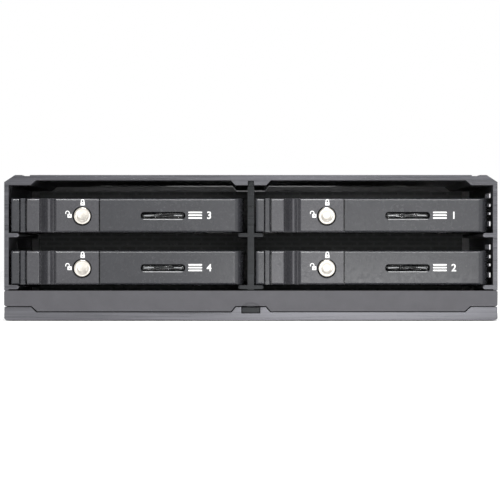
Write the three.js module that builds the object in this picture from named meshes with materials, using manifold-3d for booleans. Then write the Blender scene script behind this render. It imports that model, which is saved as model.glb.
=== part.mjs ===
// A mobile rack for four 2.5 inch drives that fills one 5.25 inch bay.
// Millimetres, +Z up, front towards -Y, origin in the middle of the underside.
import * as THREE from "three";
import { mergeVertices } from "three/addons/utils/BufferGeometryUtils.js";
import Module from "manifold-3d";

// Outer size
const WIDTH = 146;
const HEIGHT = 43;
const DEPTH = 148;
const HALF_WIDTH = WIDTH / 2;
const FRONT_Y = -DEPTH / 2;
const REAR_Y = DEPTH / 2;
const SEAM = 0.1; // between pieces that are screwed together

// Extruded shell, base and divider
const EXTRUSION_FRONT_Y = FRONT_Y + 0.5;
const EXTRUSION_REAR_Y = 62.4;
const WALL = 1.3;
const INNER_X = HALF_WIDTH - WALL;
const BOSS_UNDER_Z = 40;
const ROOF_UNDER_Z = 41.45;
const RIB_REACH = 3;
const RIB_THICK = 1.2;
const MID_RIB_Z = 24.6; // underside of the ribs that carry the upper trays
const FOOT_RIB_Z = 9.2; // underside of the ribs that carry the lower trays
const BASE_THIN = 2.4;
const BASE_THICK = 3.95;
const WALL_FOOT_Z = BASE_THICK + SEAM;
const FOOT_FLANGE_THICK = 1.5; // inward flange at the foot of each side wall

// Divider between the two columns
const DIVIDER_THICK = 2;
const TONGUE_THICK = 1.6;
const TONGUE_TOP_Z = 41.2;
const DIVIDER_RIB_REACH = 2.8;
const DIVIDER_FLANGE_WIDTH = 5.2;
const GROOVE_WIDTH = 5.5;
const GROOVE_FLOOR_Z = 2.1;
const DIVIDER_REAR_Y = 40.9;

// Fascia under the lower trays
const FASCIA_TOP_Z = 8.75;
const FASCIA_DEPTH = 4.7;
const FASCIA_GAP = 0.25;
const RECESS_HALF = 2.65;
const RECESS_RISE = 1.2;
const RECESS_DEPTH = 0.8;

// Cooling slots in the right side wall, one set of rows beside each tray
const VENT_FRONT_Y = -59;
const VENT_LENGTH = 28.5;
const VENT_ROWS = [ // height above the tray's underside, and height of each slot
  [11.1, 1.5],
  [8.2, 0.95],
  [5.7, 0.8],
  [2.65, 1.5],
];

// Trays
const TRAY_FRONT_Y = FRONT_Y + 0.4;
const TRAY_WIDTH = 68.9;
const TRAY_HEIGHT = 9.98;
const TRAY_LEFT_GAP = 0.7; // left end of a tray to the wall or divider beside it
const TRAY_ROWS_Z = [MID_RIB_Z + RIB_THICK + 0.3, FOOT_RIB_Z + RIB_THICK - 0.1 + 0.3];
// Bays are numbered from the top right: 1 and 2 on the right, 3 and 4 on the left
const COLUMNS = [DIVIDER_THICK / 2 + 0.4, -INNER_X + TRAY_LEFT_GAP];
const BEZEL_DEPTH = 6.5;
const FLOOR_THICK = 1.6;
const FLOOR_REAR_Y = 35;
const WINDOW_START = 7; // windows in the floor, from the tray's left end and front
const WINDOW_END = 57.5;
const WINDOW_SPANS = [[17, 51], [58, 92]];
const LEVER_THICK = 3;
const LEVER_END = 26;
const FIXED_START = 26.4; // where the fixed part of the bezel starts, from the tray's left end
const POST_WIDTH = 2.45;
const PIVOT_X = 3.5; // from the tray's left end
const PIVOT_DEPTH = 1;
const KNUCKLE_RADIUS = 0.95;
const PLATE_START = 4.8; // where the lever's plate starts, right of its hinge barrel
const LUG_THICK = 1.2;
const LUG_PLAY = 0.1; // between each lug and the lever's hinge barrel
const PIN_RADIUS = 0.45;
const PIN_HOLE_RADIUS = 0.58;
const HOOK_LENGTH = 3.1;
const HOOK_HALF_HEIGHT = 1.4;
const LOCK_X = 21.1;
const LOCK_DROP = 0.2; // lock centre under the tray's middle
const LOCK_RADIUS = 2.5;
const LOCK_HOLE_RADIUS = 2.75;
const LOCK_PROUD = 0.3;
const LOCK_WALL_HOLE_RADIUS = 2.9; // hole behind the lever that the barrel passes
const LOCK_SWING_RADIUS = 4.8; // room behind that wall for the tongue
const LOCK_TAIL = 1.8; // width of the square end that carries the tongue
const TONGUE_LENGTH = 4.4;
const TONGUE_DEPTH = 4.5;
const TONGUE_THICK_Y = 1;
const SLOT_START = 38.4;
const SLOT_END = 51.6;
const SLOT_HEIGHT = 2;
const PIPE_X = 62; // where the light pipe runs back through the floor
const PIPE_WIDTH = 2;

// Electronics
const BOARD_Y = 41.5;
const BOARD_THICK = 1.6;
const SOCKET_WIDTH = 40;
const SOCKET_HEIGHT = 5.6;
const SOCKET_DEPTH = 5.4;
const SOCKET_RISE = 3.6; // socket centre above the drive's underside
const PORT_DEPTH = 9;

// Rear
const PANEL_SEAM = 0.02; // the panel is clamped against the shell's rear end
const PANEL_Y = EXTRUSION_REAR_Y + PANEL_SEAM;
const PANEL_THICK = 1.4;
const FAN_SIZE = 40;
const FAN_DEPTH = 10;
const FAN_X = 48;
const FAN_Z = HEIGHT / 2;
const FAN_BORE_RADIUS = 18.8;
const FAN_HOLE_OFFSET = 16; // corner holes, from the fan's axis along X and along Z
const HUB_RADIUS = 11.5;
const BLADES = 7;

const QUARTER = Math.PI / 2;

const wasm = await Module();
wasm.setup();

// Geometry to solid and back

function solid(geometry) {
  const bare = geometry.clone();
  bare.deleteAttribute("normal");
  bare.deleteAttribute("uv");
  const merged = mergeVertices(bare, 1e-4);
  const triVerts = new Uint32Array(merged.index.array);
  const vertProperties = merged.attributes.position.array;
  return new wasm.Manifold(new wasm.Mesh({ numProp: 3, vertProperties, triVerts }));
}

function geometryOf(manifold) {
  const mesh = manifold.getMesh();
  const geometry = new THREE.BufferGeometry();
  geometry.setAttribute("position", new THREE.BufferAttribute(mesh.vertProperties, 3));
  geometry.setIndex(new THREE.BufferAttribute(mesh.triVerts, 1));
  const flat = geometry.toNonIndexed();
  flat.computeVertexNormals();
  return flat;
}

function join(...pieces) {
  return pieces.reduce((sum, piece) => sum.add(piece));
}

function cut(body, ...tools) {
  return tools.reduce((rest, tool) => rest.subtract(tool), body);
}

// Plain shapes, each given by its limits

function box(x0, x1, y0, y1, z0, z1) {
  const geometry = new THREE.BoxGeometry(x1 - x0, y1 - y0, z1 - z0);
  geometry.translate((x0 + x1) / 2, (y0 + y1) / 2, (z0 + z1) / 2);
  return solid(geometry);
}

// The same points on the other side of the middle plane, in reverse order
function mirrored(points) {
  return points.map(([x, z]) => [-x, z]).reverse();
}

function outline(points) {
  return new THREE.Shape(points.map(([x, y]) => new THREE.Vector2(x, y)));
}

// A shape in X and Z, drawn out along Y from y0 to y1
function alongY(shape, y0, y1, curveSegments = 4) {
  const geometry = new THREE.ExtrudeGeometry(shape, { depth: y1 - y0, bevelEnabled: false, curveSegments });
  geometry.rotateX(QUARTER);
  geometry.translate(0, y1, 0);
  return solid(geometry);
}

// A shape in X and Y, drawn out along Z from z0 to z1
function alongZ(shape, z0, z1, curveSegments = 4) {
  const geometry = new THREE.ExtrudeGeometry(shape, { depth: z1 - z0, bevelEnabled: false, curveSegments });
  geometry.translate(0, 0, z0);
  return solid(geometry);
}

function rodY(radius, x, z, y0, y1, sides = 16) {
  const geometry = new THREE.CylinderGeometry(radius, radius, y1 - y0, sides);
  geometry.translate(x, (y0 + y1) / 2, z);
  return solid(geometry);
}

function rodZ(radius, x, y, z0, z1, sides = 16) {
  const geometry = new THREE.CylinderGeometry(radius, radius, z1 - z0, sides);
  geometry.rotateX(QUARTER);
  geometry.translate(x, y, (z0 + z1) / 2);
  return solid(geometry);
}

function rodX(radius, y, z, x0, x1, sides = 12) {
  const geometry = new THREE.CylinderGeometry(radius, radius, x1 - x0, sides);
  geometry.rotateZ(QUARTER);
  geometry.translate((x0 + x1) / 2, y, z);
  return solid(geometry);
}

// A turned piece whose axis runs along Y; profile points are [radius, y]
function turnedY(profile, x, z, sides = 16) {
  const points = profile.map(([radius, y]) => new THREE.Vector2(radius, y));
  const geometry = new THREE.LatheGeometry(points, sides);
  geometry.translate(x, 0, z);
  return solid(geometry);
}

function roundedRect(x0, x1, z0, z1, radius) {
  const shape = new THREE.Shape();
  shape.moveTo(x0 + radius, z0);
  shape.lineTo(x1 - radius, z0);
  shape.absarc(x1 - radius, z0 + radius, radius, -QUARTER, 0);
  shape.lineTo(x1, z1 - radius);
  shape.absarc(x1 - radius, z1 - radius, radius, 0, QUARTER);
  shape.lineTo(x0 + radius, z1);
  shape.absarc(x0 + radius, z1 - radius, radius, QUARTER, 2 * QUARTER);
  shape.lineTo(x0, z0 + radius);
  shape.absarc(x0 + radius, z0 + radius, radius, 2 * QUARTER, 3 * QUARTER);
  return shape;
}

// A flat bar with a rounded tip that stands out from a wall at x; side is 1 or -1
function rib(x, side, reach, z0, y0, y1) {
  const radius = RIB_THICK / 2;
  const shape = new THREE.Shape();
  const tip = reach - radius;
  shape.moveTo(-0.5, 0);
  shape.lineTo(tip, 0);
  shape.absarc(tip, radius, radius, -QUARTER, QUARTER);
  shape.lineTo(-0.5, RIB_THICK);
  const bar = alongY(shape, y0, y1, 3);
  const placed = side > 0 ? bar : bar.mirror([1, 0, 0]);
  return placed.translate([x, 0, z0]);
}

// Materials

function material(color, roughness, metalness) {
  return new THREE.MeshStandardMaterial({ color, roughness, metalness });
}

const shellAluminium = material(0x56575b, 0.45, 0.8);
const dividerAluminium = material(0x3c3d40, 0.5, 0.7);
const fasciaPlastic = material(0x4b4b52, 0.6, 0);
const trayPlastic = material(0x3d3e42, 0.55, 0);
const leverPlastic = material(0x46474b, 0.55, 0);
const blackPlastic = material(0x17181a, 0.6, 0);
const nickel = material(0xcfc8bd, 0.3, 1);
const steel = material(0x9c9ea1, 0.35, 1);
const boardGreen = material(0x12402a, 0.5, 0);
const clearPlastic = material(0xb8c0c4, 0.1, 0);

const rack = new THREE.Group();

function place(name, piece, look, group = rack) {
  const mesh = new THREE.Mesh(geometryOf(piece), look);
  mesh.name = name;
  group.add(mesh);
  return mesh;
}

// Casing

function shellBody() {
  const cornerWidth = 3.2;
  const cornerDrop = 2.1;
  const bossEnd = 65.3;
  const bossFoot = 63.6;
  const roofGroove = { near: 65.4, far: 67.7, floor: HEIGHT - 0.3 };
  const footFlange = 66;
  const footTop = WALL_FOOT_Z + FOOT_FLANGE_THICK;
  const outer = [
    [HALF_WIDTH, WALL_FOOT_Z],
    [HALF_WIDTH, HEIGHT - cornerDrop],
    [HALF_WIDTH - cornerWidth, HEIGHT],
    [roofGroove.far, HEIGHT],
    [roofGroove.far, roofGroove.floor],
    [roofGroove.near, roofGroove.floor],
    [roofGroove.near, HEIGHT],
  ];
  const inner = [
    [5.9, ROOF_UNDER_Z],
    [bossFoot, ROOF_UNDER_Z],
    [bossEnd, BOSS_UNDER_Z],
    [INNER_X, BOSS_UNDER_Z],
    [INNER_X, footTop],
    [footFlange, footTop],
    [footFlange, WALL_FOOT_Z],
  ];
  const grooveHalf = TONGUE_THICK / 2 + SEAM;
  const centre = [
    [grooveHalf, TONGUE_TOP_Z + SEAM],
    [grooveHalf, BOSS_UNDER_Z],
    [4.6, BOSS_UNDER_Z],
  ];
  const under = [...centre, ...inner];
  const loop = [...outer, ...mirrored(outer), ...mirrored(under), ...under];
  return alongY(outline(loop), EXTRUSION_FRONT_Y, EXTRUSION_REAR_Y);
}

// Rows of cooling slots through the right side wall
function ventSlots() {
  const slots = [];
  for (const trayZ of TRAY_ROWS_Z) {
    for (const [rise, height] of VENT_ROWS) {
      const z0 = trayZ + rise - height / 2;
      slots.push(box(INNER_X - 1, HALF_WIDTH + 1, VENT_FRONT_Y, VENT_FRONT_Y + VENT_LENGTH, z0, z0 + height));
    }
  }
  return slots;
}

// Threaded holes that a computer case screws into
function caseHoles() {
  const holes = [];
  for (const side of [-1, 1]) {
    for (const y of [-26, 53]) {
      for (const z of [7, 21.8]) {
        holes.push(rodX(1.5, y, z, side * HALF_WIDTH - 2, side * HALF_WIDTH + 2));
      }
    }
  }
  return holes;
}

const REAR_SCREWS = [
  [-70.8, 41.3],
  [70.8, 41.3],
  [-70.8, 2],
  [70.8, 2],
];
const BASE_SCREWS = [
  [-69.5, -58],
  [69.5, -58],
  [-69.5, 52],
  [69.5, 52],
];
const SCREW_RADIUS = 0.75;
const SCREW_LENGTH = 5;

function rearScrewHoles() {
  const deepest = EXTRUSION_REAR_Y - SCREW_LENGTH;
  return REAR_SCREWS.map(([x, z]) => rodY(SCREW_RADIUS + SEAM, x, z, deepest, REAR_Y, 8));
}

function baseScrewHoles() {
  return BASE_SCREWS.map(([x, y]) => rodZ(SCREW_RADIUS + SEAM, x, y, -1, WALL_FOOT_Z + 3, 8));
}

function upperShell() {
  let shell = shellBody();
  for (const side of [-1, 1]) {
    for (const z of [MID_RIB_Z, FOOT_RIB_Z]) {
      shell = shell.add(rib(side * INNER_X, -side, RIB_REACH, z, EXTRUSION_FRONT_Y, EXTRUSION_REAR_Y));
    }
  }
  const fasciaNotch = box(-80, 80, FRONT_Y - 1, FRONT_Y + FASCIA_DEPTH + SEAM, 0, FASCIA_TOP_Z + SEAM);
  return cut(shell, fasciaNotch, ...ventSlots(), ...caseHoles(), ...rearScrewHoles(), ...baseScrewHoles());
}

function basePlate() {
  const half = [
    [HALF_WIDTH - 0.6, 0],
    [HALF_WIDTH, 0.6],
    [HALF_WIDTH, BASE_THICK],
    [65, BASE_THICK],
    [63.4, BASE_THIN],
    [5.8, BASE_THIN],
    [4.5, BASE_THICK],
    [GROOVE_WIDTH / 2, BASE_THICK],
    [GROOVE_WIDTH / 2, GROOVE_FLOOR_Z],
  ];
  const loop = [...half, ...mirrored(half)];
  const plate = alongY(outline(loop), EXTRUSION_FRONT_Y, EXTRUSION_REAR_Y);
  const heads = BASE_SCREWS.map(([x, y]) => rodZ(1.8, x, y, -1, 1.15, 8));
  return cut(plate, ...rearScrewHoles(), ...baseScrewHoles(), ...heads);
}

function centreDivider() {
  const half = DIVIDER_THICK / 2;
  const tongue = TONGUE_THICK / 2;
  const flange = DIVIDER_FLANGE_WIDTH / 2;
  const flangeTop = BASE_THICK - SEAM;
  const side = [
    [flange, GROOVE_FLOOR_Z + SEAM],
    [flange, flangeTop],
    [half, flangeTop],
    [half, 39.2],
    [tongue, 39.9],
    [tongue, TONGUE_TOP_Z - 0.3],
    [tongue - 0.3, TONGUE_TOP_Z],
  ];
  const loop = [...side, ...mirrored(side)];
  let divider = alongY(outline(loop), EXTRUSION_FRONT_Y, DIVIDER_REAR_Y);
  for (const direction of [-1, 1]) {
    for (const z of [MID_RIB_Z, FOOT_RIB_Z]) {
      const bar = rib(direction * half, direction, DIVIDER_RIB_REACH, z, EXTRUSION_FRONT_Y, DIVIDER_REAR_Y);
      divider = divider.add(bar);
    }
  }
  const fasciaRoom = box(-9, 9, FRONT_Y - 1, FRONT_Y + FASCIA_DEPTH + SEAM, flangeTop, FASCIA_TOP_Z + SEAM);
  return cut(divider, fasciaRoom);
}

function frontFascia() {
  const underBoss = BASE_THICK + FASCIA_GAP;
  const underThin = BASE_THIN + FASCIA_GAP;
  const half = [
    [5.9, underThin],
    [63.2, underThin],
    [64.9, underBoss],
    [HALF_WIDTH - 0.3, underBoss],
    [HALF_WIDTH, underBoss + 0.3],
    [HALF_WIDTH, FASCIA_TOP_Z - 0.3],
    [HALF_WIDTH - 0.3, FASCIA_TOP_Z],
  ];
  const loop = [[4.6, underBoss], ...half, ...mirrored(half), [-4.6, underBoss]];
  const strip = alongY(outline(loop), FRONT_Y, FRONT_Y + FASCIA_DEPTH);
  const pocketFront = FRONT_Y + 2;
  const rear = FRONT_Y + FASCIA_DEPTH + 1;
  const pockets = [-1, 1].map((side) => {
    const near = side * 4;
    const far = side * (HALF_WIDTH - 2);
    return box(Math.min(near, far), Math.max(near, far), pocketFront, rear, 5.4, FASCIA_TOP_Z - 1.4);
  });
  return cut(strip, thumbRecess(underBoss), ...pockets);
}

// Shallow arched recess in the middle of the fascia, open at its underside
function thumbRecess(foot) {
  const radius = (RECESS_HALF ** 2 + RECESS_RISE ** 2) / (2 * RECESS_RISE);
  const spread = Math.asin(RECESS_HALF / radius);
  const centre = foot + RECESS_RISE - radius;
  const arch = new THREE.Path();
  arch.absarc(0, centre, radius, QUARTER - spread, QUARTER + spread);
  const points = arch.getPoints(8).map((point) => [point.x, point.y]);
  const loop = [[RECESS_HALF, foot - 1], ...points, [-RECESS_HALF, foot - 1]];
  return alongY(outline(loop), FRONT_Y - 1, FRONT_Y + RECESS_DEPTH);
}

// Trays

function bezel() {
  const back = BEZEL_DEPTH;
  const endWidth = 3; // the right end curves back over this width and depth
  const endDepth = 5.5;
  const plan = new THREE.Shape();
  plan.moveTo(0, 0.4);
  plan.lineTo(0.4, 0);
  plan.lineTo(TRAY_WIDTH - endWidth, 0);
  plan.absellipse(TRAY_WIDTH - endWidth, endDepth, endWidth, endDepth, -QUARTER, 0);
  plan.lineTo(TRAY_WIDTH, back);
  plan.lineTo(0, back);
  const block = alongZ(plan, 0, TRAY_HEIGHT, 5);
  const middle = TRAY_HEIGHT / 2;
  const leverSpace = box(POST_WIDTH, FIXED_START, -1, LEVER_THICK + 0.4, -1, TRAY_HEIGHT + 1);
  const hookSpace = cut(
    rodZ(HOOK_LENGTH + 0.5, PIVOT_X, PIVOT_DEPTH, middle - 1.9, middle + 1.9, 12),
    box(-3, POST_WIDTH + 0.1, -4, 0.8, -1, 12),
  );
  const slot = roundedRect(SLOT_START, SLOT_END, middle - SLOT_HEIGHT / 2, middle + SLOT_HEIGHT / 2, 0.99);
  const slotHole = alongY(slot, -1, back + 1, 2);
  const lockMiddle = middle - LOCK_DROP;
  const lockHole = rodY(LOCK_WALL_HOLE_RADIUS, LOCK_X, lockMiddle, 1, back + 1, 12);
  const swingRoom = rodY(LOCK_SWING_RADIUS, LOCK_X, lockMiddle, TONGUE_DEPTH - 0.2, back + 1, 16);
  const tongueSlot = box(LOCK_X - 1.3, LOCK_X + 2, 1, back + 1, lockMiddle, lockMiddle + TONGUE_LENGTH + 0.3);
  let body = cut(block, leverSpace, hookSpace, slotHole, lockHole, swingRoom, tongueSlot);
  for (const z of [0, TRAY_HEIGHT - LUG_THICK]) {
    const eye = rodZ(KNUCKLE_RADIUS, PIVOT_X, PIVOT_DEPTH, z, z + LUG_THICK, 12);
    const webEnd = PIVOT_X + KNUCKLE_RADIUS;
    const web = box(PIVOT_X - KNUCKLE_RADIUS, webEnd, PIVOT_DEPTH, back - 0.5, z, z + LUG_THICK);
    body = join(body, eye, web);
  }
  return cut(body, rodZ(PIN_RADIUS + SEAM, PIVOT_X, PIVOT_DEPTH, -1, TRAY_HEIGHT + 1, 8));
}

function lever() {
  const plan = new THREE.Shape();
  const back = LEVER_THICK;
  const grooveDepth = 1.6;
  const grooveAngle = -Math.asin((PIVOT_DEPTH - grooveDepth) / KNUCKLE_RADIUS);
  plan.absarc(PIVOT_X, PIVOT_DEPTH, KNUCKLE_RADIUS, QUARTER, 4 * QUARTER + grooveAngle);
  plan.lineTo(PLATE_START, grooveDepth);
  plan.lineTo(PLATE_START, 0);
  plan.lineTo(8.25, 0);
  plan.lineTo(8.5, 1.15);
  plan.absarc(9.6, 1, 1.05, 2.9, 0.4, true);
  plan.lineTo(11, 0.2);
  plan.quadraticCurveTo(11.5, 0.55, 12.4, 0.5);
  plan.lineTo(13.25, 0);
  plan.lineTo(LEVER_END - 0.3, 0);
  plan.lineTo(LEVER_END, 0.3);
  plan.lineTo(LEVER_END, back);
  plan.lineTo(PLATE_START, back);
  const plate = alongZ(plan, 0, TRAY_HEIGHT, 5);
  const middle = TRAY_HEIGHT / 2;
  const lugRoom = [
    box(0, PLATE_START, -1, 4, -1, LUG_THICK + LUG_PLAY),
    box(0, PLATE_START, -1, 4, TRAY_HEIGHT - LUG_THICK - LUG_PLAY, TRAY_HEIGHT + 1),
  ];
  const hook = new THREE.Shape();
  hook.moveTo(PIVOT_X, PIVOT_DEPTH);
  hook.lineTo(PIVOT_X, PIVOT_DEPTH + 1.5);
  hook.lineTo(PIVOT_X - HOOK_LENGTH + 0.3, PIVOT_DEPTH + 1.3);
  hook.lineTo(PIVOT_X - HOOK_LENGTH + 0.1, PIVOT_DEPTH + 0.1);
  const tooth = alongZ(hook, middle - HOOK_HALF_HEIGHT, middle + HOOK_HALF_HEIGHT);
  const bore = rodY(LOCK_HOLE_RADIUS, LOCK_X, middle - LOCK_DROP, -1, 4, 16);
  const pinHole = rodZ(PIN_HOLE_RADIUS, PIVOT_X, PIVOT_DEPTH, -1, TRAY_HEIGHT + 1, 8);
  return cut(join(cut(plate, ...lugRoom), tooth), bore, pinHole);
}

function hingePin() {
  return rodZ(PIN_RADIUS, PIVOT_X, PIVOT_DEPTH, 0.1, TRAY_HEIGHT - 0.1, 8);
}

function lockBarrel() {
  const face = -LOCK_PROUD;
  const profile = [
    [0, face + 0.3],
    [1.5, face + 0.2],
    [2.2, face],
    [LOCK_RADIUS, face + 0.25],
    [LOCK_RADIUS, LEVER_THICK + 0.1],
    [0, LEVER_THICK + 0.1],
  ];
  const middle = TRAY_HEIGHT / 2 - LOCK_DROP;
  const barrel = turnedY(profile, LOCK_X, middle, 16);
  const half = LOCK_TAIL / 2;
  const tailEnd = TONGUE_DEPTH + TONGUE_THICK_Y + 0.2;
  const tail = box(LOCK_X - half, LOCK_X + half, LEVER_THICK, tailEnd, middle - half, middle + half);
  return join(barrel, tail);
}

// The lock's tongue points up at rest and swings behind the bezel's edge when locked
function lockTongue() {
  const middle = TRAY_HEIGHT / 2 - LOCK_DROP;
  const y0 = TONGUE_DEPTH;
  const y1 = y0 + TONGUE_THICK_Y;
  const plate = box(LOCK_X - 1, LOCK_X + 1, y0, y1, middle - 1.7, middle + TONGUE_LENGTH);
  const eye = rodY(1.8, LOCK_X, middle, y0, y1, 8);
  const half = LOCK_TAIL / 2 + SEAM;
  return cut(join(plate, eye), box(LOCK_X - half, LOCK_X + half, 0, 9, middle - half, middle + half));
}

function caddyFloor() {
  const front = BEZEL_DEPTH + SEAM;
  const rear = FLOOR_REAR_Y - TRAY_FRONT_Y;
  const plate = box(0.2, TRAY_WIDTH, front, rear, 0, FLOOR_THICK);
  const lip = box(0.2, TRAY_WIDTH, front, front + 1.5, 0, TRAY_HEIGHT - 1);
  const windows = WINDOW_SPANS.map(([y0, y1]) =>
    alongZ(roundedRect(WINDOW_START, WINDOW_END, y0, y1, 3), -1, 5, 1),
  );
  const connectorRoom = box(12, 56, rear - 6, rear + 1, -1, 5);
  const lockRoom = rodY(LOCK_SWING_RADIUS, LOCK_X, TRAY_HEIGHT / 2 - LOCK_DROP, front - 1, front + 2.5, 12);
  const channelHalf = PIPE_WIDTH / 2 + 0.1;
  const channel = box(PIPE_X - channelHalf, PIPE_X + channelHalf, front - 1, rear + 1, 0.5, 5);
  const pipeRoom = box(SLOT_START - 0.6, PIPE_X + 1.1, front - 1, front + 3, 0.5, 6.3);
  const driveHoles = [];
  for (const x of [3.9, TRAY_WIDTH - 3.5]) {
    for (const y of [front + 12, front + 88.5]) {
      driveHoles.push(rodZ(1.6, x, y, -1, 5, 8));
    }
  }
  return cut(join(plate, lip), ...windows, connectorRoom, lockRoom, channel, pipeRoom, ...driveHoles);
}

function lightPipe() {
  const middle = TRAY_HEIGHT / 2;
  const half = SLOT_HEIGHT / 2 - 0.12;
  const pill = roundedRect(SLOT_START + 0.12, SLOT_END - 0.12, middle - half, middle + half, half - 0.01);
  const back = BEZEL_DEPTH + 0.2;
  const head = alongY(pill, 0.9, back + 1, 2);
  const bridge = box(SLOT_START + 2, PIPE_X + PIPE_WIDTH / 2, back, back + 1.2, middle - 0.8, middle + 0.8);
  const riser = box(PIPE_X - PIPE_WIDTH / 2, PIPE_X + PIPE_WIDTH / 2, back, back + 1.2, 0.6, middle + 0.8);
  const rear = FLOOR_REAR_Y - TRAY_FRONT_Y;
  const run = box(PIPE_X - PIPE_WIDTH / 2, PIPE_X + PIPE_WIDTH / 2, back, rear, 0.6, 1.5);
  return join(head, bridge, riser, run);
}

function addTrays() {
  const pieces = [
    ["bezel", bezel(), trayPlastic],
    ["caddy", caddyFloor(), blackPlastic],
    ["lever", lever(), leverPlastic],
    ["hinge_pin", hingePin(), steel],
    ["lock_barrel", lockBarrel(), nickel],
    ["lock_tongue", lockTongue(), steel],
    ["light_pipe", lightPipe(), clearPlastic],
  ];
  COLUMNS.forEach((x, column) => {
    TRAY_ROWS_Z.forEach((z, row) => {
      const tray = new THREE.Group();
      tray.position.set(x, TRAY_FRONT_Y, z);
      rack.add(tray);
      for (const [name, piece, look] of pieces) {
        place(name + "_" + (column * 2 + row + 1), piece, look, tray);
      }
    });
  });
}

// Electronics behind the trays

function socketCentre(column, row) {
  const x = COLUMNS[column] + 34;
  const z = TRAY_ROWS_Z[row] + FLOOR_THICK + SOCKET_RISE;
  return [x, z];
}

function backplaneBoard() {
  const halfWidth = INNER_X - RIB_REACH - 0.4;
  const bottom = WALL_FOOT_Z + FOOT_FLANGE_THICK + 0.2;
  const board = box(-halfWidth, halfWidth, BOARD_Y, BOARD_Y + BOARD_THICK, bottom, BOSS_UNDER_Z - 0.4);
  const airWindows = [];
  for (const column of COLUMNS) {
    for (const trayZ of TRAY_ROWS_Z) {
      for (const x of [column + 3, column + 56]) {
        airWindows.push(box(x, x + 8.5, BOARD_Y - 1, BOARD_Y + 3, trayZ + 2.4, trayZ + 9));
      }
    }
  }
  return cut(board, ...airWindows);
}

function driveSocket(x, z) {
  const y1 = BOARD_Y - SEAM;
  const y0 = y1 - SOCKET_DEPTH;
  const half = SOCKET_HEIGHT / 2;
  const body = box(x - SOCKET_WIDTH / 2, x + SOCKET_WIDTH / 2, y0, y1, z - half, z + half);
  const powerSlot = box(x - 17, x + 4.5, y0 - 1, y1 - 1, z - 0.7, z + 0.7);
  const dataSlot = box(x + 6.5, x + 17, y0 - 1, y1 - 1, z - 0.7, z + 0.7);
  return cut(body, powerSlot, dataSlot);
}

// A shrouded plug: a box open to the rear with a contact blade inside
function rearPort(x, z, width, height) {
  const y0 = BOARD_Y + BOARD_THICK + SEAM;
  const y1 = y0 + PORT_DEPTH;
  const shroud = cut(
    box(x - width / 2, x + width / 2, y0, y1, z - height / 2, z + height / 2),
    box(x - width / 2 + 1, x + width / 2 - 1, y0 + 1.5, y1 + 1, z - height / 2 + 1, z + height / 2 - 1),
  );
  const blade = box(x - width / 2 + 2, x + width / 2 - 2, y0 + 1, y1 - 1, z - 0.6, z + 0.6);
  return join(shroud, blade);
}

function addElectronics() {
  place("backplane_board", backplaneBoard(), boardGreen);
  for (const column of [0, 1]) {
    for (const row of [0, 1]) {
      const number = column * 2 + row + 1;
      const [x, z] = socketCentre(column, row);
      place("drive_socket_" + number, driveSocket(x, z), blackPlastic);
      const portX = column === 0 ? 11 : -11;
      place("data_port_" + number, rearPort(portX, row === 0 ? 33 : 24, 14, 6), blackPlastic);
    }
  }
  place("power_port_left", rearPort(-13.5, 13, 23, 6.4), blackPlastic);
  place("power_port_right", rearPort(13.5, 13, 23, 6.4), blackPlastic);
}

// Rear panel, fans and screws

const FAN_SCREW_RADIUS = 1.2;
const FAN_SCREW_HEAD_RADIUS = 2.4;
const FAN_SCREW_SINK = 1.8; // depth of the counterbore that holds each head

// The corner holes of a fan, as [x, z]; the first two, at opposite corners, take the screws
function fanCorners(x) {
  const outward = Math.sign(x) * FAN_HOLE_OFFSET;
  const up = FAN_HOLE_OFFSET;
  const corners = [[outward, up], [-outward, -up], [outward, -up], [-outward, up]];
  return corners.map(([dx, dz]) => [x + dx, FAN_Z + dz]);
}

function fanScrewPlaces() {
  return [-FAN_X, FAN_X].flatMap((x) => fanCorners(x).slice(0, 2));
}

function rearPanel() {
  const plate = alongY(roundedRect(-HALF_WIDTH, HALF_WIDTH, 0, HEIGHT, 2), PANEL_Y, PANEL_Y + PANEL_THICK, 3);
  const cableWindow = alongY(roundedRect(-27, 27, 6.5, 38.5, 2), PANEL_Y - 1, PANEL_Y + 3, 3);
  const holeRadius = FAN_BORE_RADIUS - 0.5;
  const fanHoles = [-FAN_X, FAN_X].map((x) => rodY(holeRadius, x, FAN_Z, PANEL_Y - 1, PANEL_Y + 3, 24));
  const threadRadius = FAN_SCREW_RADIUS + SEAM;
  const threads = fanScrewPlaces().map(([x, z]) => rodY(threadRadius, x, z, PANEL_Y - 1, PANEL_Y + 3, 8));
  return cut(plate, cableWindow, ...fanHoles, ...threads, ...rearScrewHoles());
}

function fanFrame(x) {
  const y1 = REAR_Y;
  const y0 = y1 - FAN_DEPTH;
  const half = FAN_SIZE / 2;
  const square = alongY(roundedRect(x - half, x + half, FAN_Z - half, FAN_Z + half, 2.5), y0, y1, 3);
  const tunnel = rodY(FAN_BORE_RADIUS, x, FAN_Z, y0 - 1, y1 + 1, 28);
  const holes = [];
  for (const [holeX, holeZ] of fanCorners(x)) {
    holes.push(rodY(1.7, holeX, holeZ, y0 - 1, y1 + 1, 8));
    holes.push(rodY(FAN_SCREW_HEAD_RADIUS + 0.3, holeX, holeZ, y1 - FAN_SCREW_SINK, y1 + 1, 12));
  }
  let frame = cut(square, tunnel, ...holes);
  frame = frame.add(rodY(HUB_RADIUS, x, FAN_Z, y1 - 1.5, y1, 16));
  for (let turn = 0; turn < 4; turn += 1) {
    const strut = box(HUB_RADIUS - 1, FAN_BORE_RADIUS + 0.4, y1 - 1.5, y1, -0.9, 0.9);
    frame = frame.add(strut.rotate([0, 45 + turn * 90, 0]).translate([x, 0, FAN_Z]));
  }
  return frame;
}

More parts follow.
